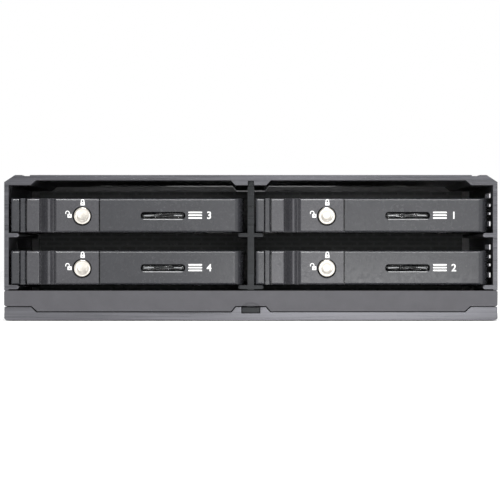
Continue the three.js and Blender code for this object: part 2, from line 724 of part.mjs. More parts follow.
function fanRotor(x) {
  const y0 = REAR_Y - FAN_DEPTH + 0.3;
  const y1 = REAR_Y - 2;
  let rotor = rodY(HUB_RADIUS, x, FAN_Z, y0, y1, 16);
  const middleY = (y0 + y1) / 2;
  for (let blade = 0; blade < BLADES; blade += 1) {
    const flat = box(HUB_RADIUS - 0.8, FAN_BORE_RADIUS - 0.8, -0.45, 0.45, -4.6, 4.6);
    const pitched = flat.rotate([38, 0, 0]);
    const turned = pitched.rotate([0, (360 / BLADES) * blade, 0]);
    rotor = rotor.add(turned.translate([x, middleY, FAN_Z]));
  }
  return rotor;
}

// A screw that holds a fan, with its head sunk in the fan's corner
function fanScrew(x, z) {
  const seat = REAR_Y - FAN_SCREW_SINK + 0.02;
  const headTop = REAR_Y - 0.1;
  const profile = [
    [0, PANEL_Y + 0.1],
    [FAN_SCREW_RADIUS, PANEL_Y + 0.1],
    [FAN_SCREW_RADIUS, seat],
    [FAN_SCREW_HEAD_RADIUS, seat],
    [FAN_SCREW_HEAD_RADIUS, headTop - 0.8],
    [FAN_SCREW_HEAD_RADIUS - 0.8, headTop],
    [0, headTop],
  ];
  return turnedY(profile, x, z, 10);
}

// A screw whose head faces +Y
function rearScrew(x, z) {
  const seat = PANEL_Y + PANEL_THICK;
  const profile = [
    [0, EXTRUSION_REAR_Y - SCREW_LENGTH + 0.5],
    [SCREW_RADIUS, EXTRUSION_REAR_Y - SCREW_LENGTH + 0.5],
    [SCREW_RADIUS, seat + 0.02],
    [1.6, seat + 0.02],
    [1.6, seat + 0.6],
    [1.1, seat + 1.1],
    [0, seat + 1.1],
  ];
  const screw = turnedY(profile, x, z, 8);
  const crossSlots = [
    box(x - 0.8, x + 0.8, seat + 0.6, seat + 2, z - 0.18, z + 0.18),
    box(x - 0.18, x + 0.18, seat + 0.6, seat + 2, z - 0.8, z + 0.8),
  ];
  return cut(screw, ...crossSlots);
}

// A screw whose head faces down, sunk in the base plate
function baseScrew(x, y) {
  const head = rodZ(1.6, x, y, 0.1, 1.1, 8);
  const shank = rodZ(SCREW_RADIUS, x, y, 1, WALL_FOOT_Z + 1.3, 8);
  const crossSlots = [
    box(x - 0.8, x + 0.8, y - 0.18, y + 0.18, 0, 0.6),
    box(x - 0.18, x + 0.18, y - 0.8, y + 0.8, 0, 0.6),
  ];
  return cut(join(head, shank), ...crossSlots);
}

function addRear() {
  place("rear_panel", rearPanel(), steel);
  for (const [side, x] of [["left", -FAN_X], ["right", FAN_X]]) {
    place("fan_frame_" + side, fanFrame(x), blackPlastic);
    place("fan_rotor_" + side, fanRotor(x), blackPlastic);
  }
  fanScrewPlaces().forEach(([x, z], index) => place("fan_screw_" + (index + 1), fanScrew(x, z), steel));
  REAR_SCREWS.forEach(([x, z], index) => place("rear_screw_" + (index + 1), rearScrew(x, z), steel));
  BASE_SCREWS.forEach(([x, y], index) => place("base_screw_" + (index + 1), baseScrew(x, y), steel));
}

place("upper_shell", upperShell(), shellAluminium);
place("base_plate", basePlate(), shellAluminium);
place("centre_divider", centreDivider(), dividerAluminium);
place("front_fascia", frontFascia(), fasciaPlastic);
addTrays();
addElectronics();
addRear();

export default rack;
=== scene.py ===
"""Looks of a bay-mounted rack with four lockable trays for small drives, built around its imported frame."""

import math
import random

import bmesh
import bpy
from mathutils import Euler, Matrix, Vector


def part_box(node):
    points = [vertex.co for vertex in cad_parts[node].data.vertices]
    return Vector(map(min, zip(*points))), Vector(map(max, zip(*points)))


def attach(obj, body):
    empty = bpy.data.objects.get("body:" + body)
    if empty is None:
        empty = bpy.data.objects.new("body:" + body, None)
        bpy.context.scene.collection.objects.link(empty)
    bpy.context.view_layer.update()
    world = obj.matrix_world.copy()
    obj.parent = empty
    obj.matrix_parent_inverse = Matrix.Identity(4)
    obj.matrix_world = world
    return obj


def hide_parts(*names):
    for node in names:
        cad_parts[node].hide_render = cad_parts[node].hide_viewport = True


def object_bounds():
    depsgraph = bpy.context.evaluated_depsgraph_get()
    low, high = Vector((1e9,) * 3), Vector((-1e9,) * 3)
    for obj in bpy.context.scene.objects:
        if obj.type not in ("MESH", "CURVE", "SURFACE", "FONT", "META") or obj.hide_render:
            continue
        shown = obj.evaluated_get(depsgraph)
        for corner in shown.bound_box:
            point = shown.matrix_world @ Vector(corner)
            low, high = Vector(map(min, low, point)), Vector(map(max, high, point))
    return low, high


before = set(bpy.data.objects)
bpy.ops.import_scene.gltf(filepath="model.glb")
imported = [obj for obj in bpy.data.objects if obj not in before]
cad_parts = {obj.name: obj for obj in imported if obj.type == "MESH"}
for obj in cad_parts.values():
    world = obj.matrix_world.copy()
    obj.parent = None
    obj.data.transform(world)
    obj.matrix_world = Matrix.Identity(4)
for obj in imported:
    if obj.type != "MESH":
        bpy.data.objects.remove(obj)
cad_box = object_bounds()

MM = 0.001
TRAYS = (1, 2, 3, 4)
SIDES = ("left", "right")

# CAD meshes
WELD_DISTANCE = 0.002  # millimetres
FLAT_ANGLE = 0.5  # degrees
QUAD_CORNERS = 4

# Tray fronts, in millimetres from the lowest corner of each bezel
POST_WIDTH = 2.45
POST_CORNER_RADIUS = 0.9
LEVER_END = 26.0
FIXED_START = 26.4
END_WIDTH = 3.0
END_DEPTH = 5.5
LEVER_THICK = 3.0
PIVOT_X = 3.5
PIVOT_Y = 1.0
KNUCKLE_RADIUS = 0.95
KNUCKLE_FRONT = 0.2
KNUCKLE_SIDES = 40
PLATE_START = 4.8
LUG_THICK = 1.2
LUG_PLAY = 0.06
PIN_RADIUS = 0.45
PIN_PLAY = 0.06
PIN_BORE_RADIUS = 0.56
HOOK_LENGTH = 3.1
HOOK_HEIGHT = 2.8
LOCK_X = 21.1
LOCK_DROP = 0.2
LOCK_RADIUS = 2.5
LOCK_HOLE_RADIUS = 2.75
BARREL_ROOM_RADIUS = 2.9
TONGUE_LENGTH = 4.4
TONGUE_ROOM_RADIUS = 4.75
TONGUE_Y = 4.5
SLOT_START = 38.4
SLOT_END = 51.6
SLOT_HEIGHT = 2.0
SLOT_LIP = 0.32
BEZEL_DEPTH = 6.5
PIPE_X = 62.0
PIPE_WIDTH = 2.0
LABEL_START = 52.5
NUMBER_START = 57.9
LABEL_HEIGHT = 2.1
PRINT_THICK = 0.03
DIGIT_SHARE = 0.69  # a digit's height as a share of its font size

# Electronics
POWER_CONTACTS = 15
DATA_CONTACTS = 7

# Fans
FAN_BORE_RADIUS = 18.8
HUB_RADIUS = 11.5
FAN_HOLE_PITCH = 32.0
FAN_HOLE_RADIUS = 1.7
FAN_SEAT_RADIUS = 2.7
FAN_SEAT_DEPTH = 1.8


# ---------------------------------------------------------------- mesh helpers


def piece_from(name, bm):
    """Turns a bmesh into an object whose faces point out."""
    bmesh.ops.recalc_face_normals(bm, faces=bm.faces[:])
    mesh = bpy.data.meshes.new(name)
    bm.to_mesh(mesh)
    bm.free()
    piece = bpy.data.objects.new(name, mesh)
    bpy.context.scene.collection.objects.link(piece)
    return piece


def prism(name, outline, low, high, axis, origin):
    """A closed outline drawn out along an axis, in millimetres from origin, which is in metres."""
    orders = {
        "X": lambda a, b, c: (c, a, b),
        "Y": lambda a, b, c: (a, c, b),
        "Z": lambda a, b, c: (a, b, c),
    }
    order = orders[axis]
    bm = bmesh.new()
    ends = []
    for level in (low, high):
        ring = [bm.verts.new(origin + MM * Vector(order(a, b, level))) for a, b in outline]
        bm.faces.new(ring)
        ends.append(ring)
    count = len(outline)
    for i in range(count):
        j = (i + 1) % count
        bm.faces.new((ends[0][i], ends[0][j], ends[1][j], ends[1][i]))
    return piece_from(name, bm)


def block(name, low, high, origin):
    """A box between two corners, in millimetres from origin."""
    outline = [(low[0], low[1]), (high[0], low[1]), (high[0], high[1]), (low[0], high[1])]
    return prism(name, outline, low[2], high[2], "Z", origin)


def loft_y(name, rings, origin):
    """Joins outlines in X and Z, each at its own Y, into one closed solid."""
    bm = bmesh.new()
    loops = []
    for y, outline in rings:
        loops.append([bm.verts.new(origin + MM * Vector((x, y, z))) for x, z in outline])
    bm.faces.new(loops[0])
    bm.faces.new(loops[-1])
    for near, far in zip(loops, loops[1:]):
        for i in range(len(near)):
            j = (i + 1) % len(near)
            bm.faces.new((near[i], near[j], far[j], far[i]))
    return piece_from(name, bm)


def turned(name, profile, centre, axis="Y", sides=48):
    """A turned solid. Profile points are (radius, place along the axis) in millimetres from centre."""
    bm = bmesh.new()
    turn = {"Y": (0, 2, 1), "Z": (0, 1, 2)}[axis]
    loops = []
    for radius, along in profile:
        if radius == 0:
            loops.append([bm.verts.new(swizzle((0, 0, along), turn) * MM + centre)])
            continue
        loop = []
        for step in range(sides):
            angle = 2 * math.pi * step / sides
            point = (radius * math.cos(angle), radius * math.sin(angle), along)
            loop.append(bm.verts.new(swizzle(point, turn) * MM + centre))
        loops.append(loop)
    for near, far in zip(loops, loops[1:]):
        for i in range(sides):
            j = (i + 1) % sides
            corners = [near[i % len(near)], near[j % len(near)], far[j % len(far)], far[i % len(far)]]
            unique = list(dict.fromkeys(corners))
            if len(unique) > 2:
                bm.faces.new(unique)
    return piece_from(name, bm)


def swizzle(point, turn):
    """The point's coordinates in another order."""
    placed = [0, 0, 0]
    for source, target in enumerate(turn):
        placed[target] = point[source]
    return Vector(placed)


def arc(centre, radius, start, end, steps):
    """Points on an arc, with its angles in degrees."""
    points = []
    for step in range(steps + 1):
        angle = math.radians(start + (end - start) * step / steps)
        points.append((centre[0] + radius * math.cos(angle), centre[1] + radius * math.sin(angle)))
    return points


def rounded(low, high, radius, steps=6):
    """A rectangle with round corners, between two corners."""
    (x0, z0), (x1, z1) = low, high
    corners = (
        ((x1 - radius, z0 + radius), -90),
        ((x1 - radius, z1 - radius), 0),
        ((x0 + radius, z1 - radius), 90),
        ((x0 + radius, z0 + radius), 180),
    )
    points = []
    for centre, start in corners:
        points += arc(centre, radius, start, start + 90, steps)
    return points


def rod_outline(x, z, radius, sides=40):
    """The outline of a round rod or hole."""
    return arc((x, z), radius, 0, 360 * (sides - 1) / sides, sides - 1)


def freeze(piece):
    """Applies all the modifiers of a piece to its mesh."""
    bpy.context.view_layer.update()
    depsgraph = bpy.context.evaluated_depsgraph_get()
    mesh = bpy.data.meshes.new_from_object(piece.evaluated_get(depsgraph))
    piece.modifiers.clear()
    piece.data = mesh
    return piece


def carve(piece, operation, *tools):
    """Joins tools to a piece or cuts them from it, and removes the tools."""
    for tool in tools:
        modifier = piece.modifiers.new("carve", "BOOLEAN")
        modifier.operation = operation
        modifier.solver = "EXACT"
        modifier.object = tool
    freeze(piece)
    for tool in tools:
        bpy.data.objects.remove(tool)
    return piece


def soften(piece, width, segments=3, angle=32):
    """Rounds the edges of a piece by a width in millimetres and evens out its shading."""
    piece.data.polygons.foreach_set("use_smooth", [True] * len(piece.data.polygons))
    bevel = piece.modifiers.new("edges", "BEVEL")
    bevel.width = width * MM
    bevel.segments = segments
    bevel.limit_method = "ANGLE"
    bevel.angle_limit = math.radians(angle)
    bevel.use_clamp_overlap = True
    bevel.miter_outer = "MITER_ARC"
    normals = piece.modifiers.new("normals", "WEIGHTED_NORMAL")
    normals.keep_sharp = True
    return piece


def soften_node(node, width, segments=2):
    """The same on a CAD node, after its triangles are joined into flat faces and split anew.

    A bevel tears a flat face that has openings in it, so each of these faces is split again, which
    gives far fewer thin triangles than the CAD mesh has.
    """
    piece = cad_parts[node]
    weld = piece.modifiers.new("weld", "WELD")
    weld.merge_threshold = WELD_DISTANCE * MM
    flat = piece.modifiers.new("flat faces", "DECIMATE")
    flat.decimate_type = "DISSOLVE"
    flat.angle_limit = math.radians(FLAT_ANGLE)
    split = piece.modifiers.new("split", "TRIANGULATE")
    split.min_vertices = QUAD_CORNERS + 1
    return soften(piece, width, segments)


def finish_piece(piece, body, material, slot, *nodes):
    """Gives a piece its material and its body, and hides the CAD nodes that it stands for. Its slot argument
    is not used.
    """
    piece.data.materials.clear()
    piece.data.materials.append(material)
    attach(piece, body)
    if nodes:
        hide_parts(*nodes)
    return piece


def paint_node(node, material):
    """Gives a CAD node a material."""
    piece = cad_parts[node]
    for place in piece.material_slots:
        place.material = material


# ---------------------------------------------------------------- materials


class Graph:
    """A material's node tree, with short calls to add to it."""

    def __init__(self, name, color, roughness, metallic=0.0):
        self.material = bpy.data.materials.new(name)
        self.material.use_nodes = True
        self.nodes = self.material.node_tree.nodes
        self.links = self.material.node_tree.links
        self.shader = self.nodes["Principled BSDF"]
        self.shader.inputs["Base Color"].default_value = (*color, 1)
        self.shader.inputs["Roughness"].default_value = roughness
        self.shader.inputs["Metallic"].default_value = metallic

    def add(self, kind, **inputs):
        node = self.nodes.new(kind)
        for name, value in inputs.items():
            node.inputs[name].default_value = value
        return node

    def place(self, stretch=(1, 1, 1)):
        """The piece's own coordinates, in metres, stretched along each axis."""
        coordinates = self.nodes.new("ShaderNodeTexCoord")
        mapping = self.nodes.new("ShaderNodeMapping")
        mapping.inputs["Scale"].default_value = stretch
        self.links.new(coordinates.outputs["Object"], mapping.inputs["Vector"])
        return mapping.outputs["Vector"]

    def noise(self, scale, stretch=(1, 1, 1), detail=4.0, roughness=0.6):
        """Cloudy values between 0 and 1, mostly near the middle."""
        node = self.add("ShaderNodeTexNoise", Scale=scale, Detail=detail, Roughness=roughness)
        self.links.new(self.place(stretch), node.inputs["Vector"])
        return node.outputs["Fac"]

    def spread(self, value, low, high, start=0.3, end=0.7):
        """Maps a value between start and end to the range from low to high."""
        node = self.nodes.new("ShaderNodeMapRange")
        node.inputs["From Min"].default_value = start
        node.inputs["From Max"].default_value = end
        node.inputs["To Min"].default_value = low
        node.inputs["To Max"].default_value = high
        self.links.new(value, node.inputs["Value"])
        return node.outputs["Result"]

    def shades(self, value, dark, light, start=0.3, end=0.7):
        """Maps a value to a colour between dark and light."""
        node = self.nodes.new("ShaderNodeValToRGB")
        node.color_ramp.elements[0].position = start
        node.color_ramp.elements[0].color = (*dark, 1)
        node.color_ramp.elements[1].position = end
        node.color_ramp.elements[1].color = (*light, 1)
        self.links.new(value, node.inputs["Fac"])
        return node.outputs["Color"]

    def mix(self, share, first, second):
        """A colour or value between two others."""
        node = self.nodes.new("ShaderNodeMix")
        node.data_type = "RGBA"
        self.links.new(share, node.inputs["Factor"])
        self.links.new(first, node.inputs[6])
        self.links.new(second, node.inputs[7])
        return node.outputs[2]

    def facing(self, axis):
        """1 where the surface faces along an axis, 0 where it doesn't."""
        coordinates = self.nodes.new("ShaderNodeTexCoord")
        parts = self.nodes.new("ShaderNodeSeparateXYZ")
        self.links.new(coordinates.outputs["Normal"], parts.inputs["Vector"])
        size = self.nodes.new("ShaderNodeMath")
        size.operation = "ABSOLUTE"
        self.links.new(parts.outputs[axis], size.inputs[0])
        return self.spread(size.outputs["Value"], 0, 1, 0.6, 0.8)

    def color(self, value):
        self.links.new(value, self.shader.inputs["Base Color"])

    def rough(self, value):
        self.links.new(value, self.shader.inputs["Roughness"])

    def bump(self, height, strength, distance):
        """Raises the surface by a height, with its distance in millimetres."""
        node = self.add("ShaderNodeBump", Strength=strength, Distance=distance * MM)
        self.links.new(height, node.inputs["Height"])
        self.links.new(node.outputs["Normal"], self.shader.inputs["Normal"])


def tint(color, factor):
    """A darker or lighter version of a colour."""
    return tuple(channel * factor for channel in color)


def extruded_aluminium(name, color, contrast, specular=0.5):
    """Anodised extrusion: die lines along its length, and saw lines across its cut ends. Its faces along the
    length are painted lighter than its cut ends, as painted light that lifts the shade inside the bays.
    """
    graph = Graph(name, color, 0.42, 0.55)
    graph.shader.inputs["Specular IOR Level"].default_value = specular
    die_lines = graph.noise(260, (4, 0.04, 4), 5, 0.7)
    saw_lines = graph.noise(420, (0.05, 1, 2.8), 6, 0.75)
    dark = tint(color, 1 - contrast)
    light = tint(color, 1 + contrast)
    # painted light: faces along the extrusion get 1.1 to 1.35 times the base colour, lighter than the cut
    # ends, to lift the shade inside the bays
    sides = graph.shades(die_lines, tint(color, 1.1), tint(color, 1.35))
    ends = graph.shades(saw_lines, dark, light, 0.36, 0.64)
    end_faces = graph.facing("Y")
    graph.color(graph.mix(end_faces, sides, ends))
    side_gloss = graph.spread(die_lines, 0.56, 0.66)
    end_gloss = graph.spread(saw_lines, 0.24, 0.36)
    graph.rough(graph.mix(end_faces, side_gloss, end_gloss))
    lines = graph.mix(end_faces, die_lines, saw_lines)
    graph.bump(lines, 0.3, 0.02)
    return graph.material


def moulded_plastic(name, color, roughness, grain=0.25):
    """Fine spark-eroded moulding with slight unevenness of colour and gloss."""
    graph = Graph(name, color, roughness)
    cloud = graph.noise(230, (1, 1, 1), 3, 0.55)
    graph.color(graph.shades(cloud, tint(color, 0.93), tint(color, 1.07)))
    graph.rough(graph.spread(graph.noise(900), roughness - 0.05, roughness + 0.06))
    graph.bump(graph.noise(5200, detail=2.0), grain, 0.02)
    graph.shader.inputs["Specular IOR Level"].default_value = 0.38
    return graph.material


def plated_metal(name, color, roughness):
    """Satin plating with fine crossing scratches."""
    graph = Graph(name, color, roughness, 1.0)
    cloud = graph.noise(1400, (1, 1, 1), 5, 0.6)
    graph.color(graph.shades(cloud, tint(color, 0.86), tint(color, 1.06)))
    graph.rough(graph.spread(graph.noise(2600, (1, 1, 5)), roughness - 0.06, roughness + 0.1))
    graph.bump(cloud, 0.2, 0.02)
    return graph.material


def sheet_steel(name):
    """Rolled zinc-plated sheet."""
    color = (0.5, 0.5, 0.51)
    graph = Graph(name, color, 0.36, 0.95)
    rolled = graph.noise(150, (0.3, 1, 9), 5, 0.65)
    graph.color(graph.shades(rolled, tint(color, 0.85), tint(color, 1.08)))
    graph.rough(graph.spread(rolled, 0.3, 0.46))
    graph.bump(rolled, 0.18, 0.02)
    return graph.material


def circuit_board(name):
    """Solder mask with the faint relief of copper tracks under it."""
    color = (0.034, 0.036, 0.036)
    graph = Graph(name, color, 0.32)
    tracks = graph.add("ShaderNodeTexBrick", Scale=170.0, **{"Mortar Size": 0.06, "Brick Width": 0.9})
    tracks.inputs["Color1"].default_value = (*color, 1)
    tracks.inputs["Color2"].default_value = (*tint(color, 1.25), 1)
    tracks.inputs["Mortar"].default_value = (*tint(color, 1.8), 1)
    turned_place = graph.nodes.new("ShaderNodeMapping")
    turned_place.inputs["Rotation"].default_value = (math.pi / 2, 0, 0)
    graph.links.new(graph.place(), turned_place.inputs["Vector"])
    graph.links.new(turned_place.outputs["Vector"], tracks.inputs["Vector"])
    graph.color(tracks.outputs["Color"])
    graph.rough(graph.spread(graph.noise(600), 0.26, 0.4))
    graph.bump(tracks.outputs["Fac"], 0.3, 0.03)
    return graph.material


def clear_acrylic(name):
    """Clear moulding of the light pipes, with ripples that catch the light."""
    graph = Graph(name, (0.2, 0.21, 0.22), 0.05)
    graph.shader.inputs["Transmission Weight"].default_value = 0.95
    graph.shader.inputs["IOR"].default_value = 1.49
    flow = graph.noise(260, (0.7, 1, 3), 2, 0.5)
    graph.color(graph.shades(flow, (0.08, 0.085, 0.09), (0.16, 0.17, 0.18)))
    graph.bump(flow, 1.0, 1.2)
    return graph.material


def frosted_acrylic(name):
    """Pale matt pad at each end of a light pipe's face, shaped as an LED window, whose pale grey is a
    painted highlight that stands in for a glint.
    """
    # painted highlight: pale grey from 0.22 to 0.5 stands in for glints on the clear pipe
    graph = Graph(name, (0.5, 0.51, 0.52), 0.45)
    glint_grain = graph.noise(1800, (1, 1, 2), 3, 0.6)
    graph.color(graph.shades(glint_grain, (0.22, 0.23, 0.24), (0.5, 0.51, 0.52)))
    graph.bump(glint_grain, 0.3, 0.03)
    return graph.material


def printed_ink(name):
    """White pad-printed ink."""
    graph = Graph(name, (0.86, 0.86, 0.85), 0.5)
    film = graph.noise(4000, (1, 1, 1), 3, 0.6)
    graph.color(graph.shades(film, (0.8, 0.8, 0.79), (0.9, 0.9, 0.89)))
    graph.bump(film, 0.1, 0.01)
    return graph.material


def gold_contacts(name):
    """Thin gold over nickel on the contact strips."""
    color = (0.82, 0.6, 0.25)
    graph = Graph(name, color, 0.26, 1.0)
    wear = graph.noise(3000, (1, 1, 1), 4, 0.6)
    graph.color(graph.shades(wear, tint(color, 0.8), color))
    graph.rough(graph.spread(wear, 0.2, 0.36))
    return graph.material


SHELL = extruded_aluminium("anodised shell", (0.07, 0.07, 0.078), 0.36)
BASE = extruded_aluminium("anodised base", (0.098, 0.098, 0.108), 0.3)
DIVIDER = extruded_aluminium("anodised divider", (0.014, 0.015, 0.016), 0.45, 0.25)
FASCIA = moulded_plastic("fascia plastic", (0.063, 0.062, 0.069), 0.5)
TRAY = moulded_plastic("tray plastic", (0.03, 0.031, 0.035), 0.25)
LEVER = moulded_plastic("lever plastic", (0.048, 0.048, 0.053), 0.27)
BLACK = moulded_plastic("black plastic", (0.036, 0.036, 0.038), 0.45, 0.3)
FAN_PLASTIC = moulded_plastic("fan plastic", (0.012, 0.012, 0.013), 0.32, 0.15)
NICKEL = plated_metal("satin nickel", (0.6, 0.57, 0.52), 0.3)
STEEL = plated_metal("zinc plated steel", (0.55, 0.55, 0.56), 0.3)
SCREW_STEEL = plated_metal("blackened screw steel", (0.08, 0.08, 0.085), 0.35)
PANEL = sheet_steel("zinc plated sheet")
BOARD = circuit_board("solder mask")
CLEAR = clear_acrylic("clear acrylic")
# pale pads in the LED slots, a painted highlight that stands in for glints
PAINTED_GLINT = frosted_acrylic("painted glint pads")
INK = printed_ink("white ink")
GOLD = gold_contacts("gold contacts")


# ---------------------------------------------------------------- tray fronts


def tray_origin(tray):
    """The lowest corner of a tray front, in metres."""
    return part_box(f"bezel_{tray}")[0]


def tray_size(tray):
    """The width, depth and height of a tray front, in millimetres."""
    low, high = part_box(f"bezel_{tray}")
    return (high - low) / MM


def front_edges(depth, height, origin):
    """A bar along X, longer than a tray front, with its two front edges bevelled."""
    edge = [(0, 0.48), (0.19, 0.29), (0.5, 0.06), (0.75, 0)]
    outline = edge + [(depth, 0), (depth, height)]
    outline += [(y, height - z) for y, z in reversed(edge)]
    return prism("front edges", outline, -1, 75, "X", origin)


def slot_outline(middle, margin):
    """The pill outline of the LED slot, grown by a margin."""
    half = SLOT_HEIGHT / 2 + margin
    low = (SLOT_START - margin, middle - half)
    high = (SLOT_END + margin, middle + half)
    return rounded(low, high, half - 0.02, 8)


def build_bezel(tray):
    """The fixed front of a tray, with its hinge lugs, LED slot and room for lever and lock."""
    origin = tray_origin(tray)
    width, depth, height = tray_size(tray)
    middle = height / 2
    lock_z = middle - LOCK_DROP
    corner = POST_CORNER_RADIUS
    plan = arc((corner, corner), corner, 180, 270, 7)
    for x, y in arc((0, 0), 1, -90, 0, 16):
        plan.append((width - END_WIDTH + END_WIDTH * x, END_DEPTH + END_DEPTH * y))
    plan += [(width, depth), (0, depth)]
    bezel = prism(f"tray_front_{tray}", plan, 0, height, "Z", origin)
    carve(bezel, "INTERSECT", front_edges(depth + 1, height, origin))
    room = block("room", (POST_WIDTH, -1, -1), (FIXED_START, LEVER_THICK + 0.4, height + 1), origin)
    hook_swing = rod_outline(PIVOT_X, PIVOT_Y, HOOK_LENGTH + 0.5)
    hook_low = middle - HOOK_HEIGHT / 2 - 0.5
    hook_high = middle + HOOK_HEIGHT / 2 + 0.5
    hook_room = prism("hook room", hook_swing, hook_low, hook_high, "Z", origin)
    carve(hook_room, "DIFFERENCE", block("skin", (-3, -4, -1), (POST_WIDTH + 0.1, 0.8, height + 1), origin))
    slot = prism("slot", slot_outline(middle, 0), -1, depth + 1, "Y", origin)
    mouth = slot_outline(middle - SLOT_LIP, 0.04)
    lip = loft_y("lip", [(-0.02, mouth), (SLOT_LIP, slot_outline(middle, 0))], origin)
    hole = prism("hole", rod_outline(LOCK_X, lock_z, BARREL_ROOM_RADIUS), 1, depth + 1, "Y", origin)
    tongue_swing = rod_outline(LOCK_X, lock_z, TONGUE_ROOM_RADIUS)
    swing = prism("swing", tongue_swing, TONGUE_Y - 0.2, depth + 1, "Y", origin)
    notch_high = (LOCK_X + 2, depth + 1, lock_z + TONGUE_LENGTH + 0.3)
    notch = block("notch", (LOCK_X - 1.3, 1, lock_z), notch_high, origin)
    carve(bezel, "DIFFERENCE", room, hook_room, slot, lip, hole, swing, notch)
    for z in (0, height - LUG_THICK):
        eye = prism("eye", knuckle(0, 360 - 360 / KNUCKLE_SIDES), z, z + LUG_THICK, "Z", origin)
        web_low = (PIVOT_X - KNUCKLE_RADIUS, PIVOT_Y, z)
        web_high = (PIVOT_X + KNUCKLE_RADIUS, depth - 0.5, z + LUG_THICK)
        carve(bezel, "UNION", eye, block("web", web_low, web_high, origin))
    lug_bore = rod_outline(PIVOT_X, PIVOT_Y, PIN_RADIUS + PIN_PLAY, 24)
    pin_hole = prism("pin", lug_bore, -1, height + 1, "Z", origin)
    carve(bezel, "DIFFERENCE", pin_hole)
    soften(bezel, 0.12)
    return finish_piece(bezel, f"tray_{tray}", TRAY, "tray", f"bezel_{tray}")


def knuckle(start, end):
    """The hinge's outline seen from above, round with a flat front."""
    points = arc((PIVOT_X, PIVOT_Y), KNUCKLE_RADIUS, start, end, KNUCKLE_SIDES - 1)
    return [(x, y) for x, y in points if y > KNUCKLE_FRONT]


def lever_plan():
    """The lever seen from above: hinge, groove, flat, finger scoop, ridge, valley and flat."""
    groove_depth = 1.6
    groove_angle = -math.degrees(math.asin((PIVOT_Y - groove_depth) / KNUCKLE_RADIUS))
    plan = knuckle(90, 360 + groove_angle)
    plan += [(PLATE_START, groove_depth), (PLATE_START, 0)]
    plan += [(8.1, 0), (8.35, 0.12), (8.5, 0.4), (8.55, 2.3)]
    plan += [(8.8, 2.5), (9.2, 2.4), (9.7, 1.95), (10.2, 1.35), (10.6, 0.8)]
    plan += arc((11.2, 0.75), 0.5, 215, 310, 6)
    plan += [(11.75, 0.6), (11.98, 0.95), (12.2, 1.2), (12.42, 1.28), (12.64, 1.2), (12.88, 0.85)]
    plan += [(13.1, 0.45), (13.3, 0.18), (13.5, 0)]
    plan += [(LEVER_END, 0), (LEVER_END, LEVER_THICK), (PLATE_START, LEVER_THICK)]
    return plan


def build_lever(tray):
    """The swing lever that draws a tray out. Its hinge end has the tray's colour."""
    origin = tray_origin(tray)
    height = tray_size(tray)[2]
    middle = height / 2
    lock_z = middle - LOCK_DROP
    lever = prism(f"swing_lever_{tray}", lever_plan(), 0, height, "Z", origin)
    carve(lever, "INTERSECT", front_edges(LEVER_THICK + 1, height, origin))
    lug = LUG_THICK + LUG_PLAY
    for z0, z1 in ((-1, lug), (height - lug, height + 1)):
        lug_room = block("lug room", (0, -1, z0), (PLATE_START, LEVER_THICK + 1, z1), origin)
        carve(lever, "DIFFERENCE", lug_room)
    hook = [
        (PIVOT_X, PIVOT_Y),
        (PIVOT_X, PIVOT_Y + 1.5),
        (PIVOT_X - HOOK_LENGTH + 0.3, PIVOT_Y + 1.3),
        (PIVOT_X - HOOK_LENGTH + 0.1, PIVOT_Y + 0.1),
    ]
    half = HOOK_HEIGHT / 2
    carve(lever, "UNION", prism("hook", hook, middle - half, middle + half, "Z", origin))
    round_bore = rod_outline(LOCK_X, lock_z, LOCK_HOLE_RADIUS, 64)
    bore = prism("bore", round_bore, -1, LEVER_THICK + 1, "Y", origin)
    sink = 0.3
    wide = rod_outline(LOCK_X - 0.1, lock_z - 0.12, LOCK_HOLE_RADIUS + 0.16, 64)
    cone = loft_y("cone", [(-0.02, wide), (sink, round_bore)], origin)
    pin_bore = rod_outline(PIVOT_X, PIVOT_Y, PIN_BORE_RADIUS, 24)
    pin_hole = prism("pin", pin_bore, -1, height + 1, "Z", origin)
    carve(lever, "DIFFERENCE", bore, cone, pin_hole)
    soften(lever, 0.12)
    finish_piece(lever, f"lever_{tray}", LEVER, "lever", f"lever_{tray}")
    lever.data.materials.append(TRAY)
    for face in lever.data.polygons:
        if (face.center.x - origin.x) / MM < PLATE_START - 0.1:
            face.material_index = 1
    return lever


def build_lock(tray):
    """The key lock's barrel, with a dished face and a notch at the dish's edge, and its tongue."""
    origin = tray_origin(tray)
    lock_z = tray_size(tray)[2] / 2 - LOCK_DROP
    centre = origin + MM * Vector((LOCK_X, 0, lock_z))
    rear = TONGUE_Y + 1.2
    profile = [(0, 0.12), (0.9, 0.1), (1.25, 0.04), (1.42, -0.06), (1.55, -0.16), (1.75, -0.22)]
    profile += [(2.0, -0.25), (2.2, -0.24), (2.38, -0.16), (2.47, -0.04), (LOCK_RADIUS, 0.1)]
    profile += [(LOCK_RADIUS, LEVER_THICK + 0.1), (0.9, LEVER_THICK + 0.1), (0.9, rear), (0, rear)]
    barrel = turned(f"lock_face_{tray}", profile, centre)
    notch = arc((0, 0), 1.62, -38, 38, 8) + arc((0, 0), 1.3, 38, -38, 8)
    carve(barrel, "DIFFERENCE", prism("notch", notch, -1, 0.3, "Y", centre))
    soften(barrel, 0.05, 2, 40)
    finish_piece(barrel, f"lock_{tray}", NICKEL, "nickel", f"lock_barrel_{tray}")
    soften_node(f"lock_tongue_{tray}", 0.12)
    paint_node(f"lock_tongue_{tray}", STEEL)


